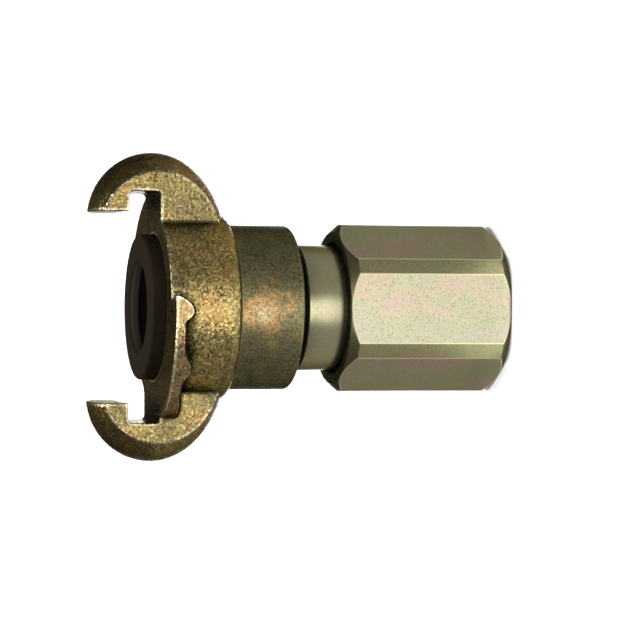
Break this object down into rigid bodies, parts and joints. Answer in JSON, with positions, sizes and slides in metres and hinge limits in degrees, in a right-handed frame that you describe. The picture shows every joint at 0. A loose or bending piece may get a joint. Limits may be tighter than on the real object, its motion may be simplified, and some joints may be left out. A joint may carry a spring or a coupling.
{
  "type": "claw hose coupling",
  "caption": "Swivelling claw coupling for hoses: hooked two-claw head with cam rims and a rubber seal, on a hexagonal sleeve with a female pipe thread.",
  "frame": {"origin": "centre of the sleeve's open rear end, on the coupling's axis", "axes": "+Z along the coupling's axis from the sleeve to the claws, +X towards one claw, +Y across the claws"},
  "size_m": [0.0686, 0.052, 0.093],
  "materials": {
    "cast_yellow_zinc": "cast malleable iron, yellow chromated zinc",
    "turned_yellow_zinc": "turned steel, yellow chromated zinc",
    "wire_steel": "drawn spring steel",
    "seal_rubber": "moulded black-brown rubber",
    "gasket_rubber": "moulded black rubber",
    "washer_plastic": "natural acetal"
  },
  "bodies": {
    "sleeve": {"hex_sleeve": "turned_yellow_zinc", "retaining_wire": "wire_steel", "wire_plug": "wire_steel", "thrust_washer": "washer_plastic", "port_gasket": "gasket_rubber"},
    "head": {"claw_head": "cast_yellow_zinc", "seal_ring": "seal_rubber", "spindle": "turned_yellow_zinc", "spindle_gasket": "gasket_rubber", "o_ring_front": "gasket_rubber", "o_ring_rear": "gasket_rubber"}
  },
  "joints": [
    {"name": "swivel", "type": "hinge", "parent": "sleeve", "child": "head", "pos_m": [0, 0, 0], "axis": [0, 0, 1], "continuous": true}
  ]
}
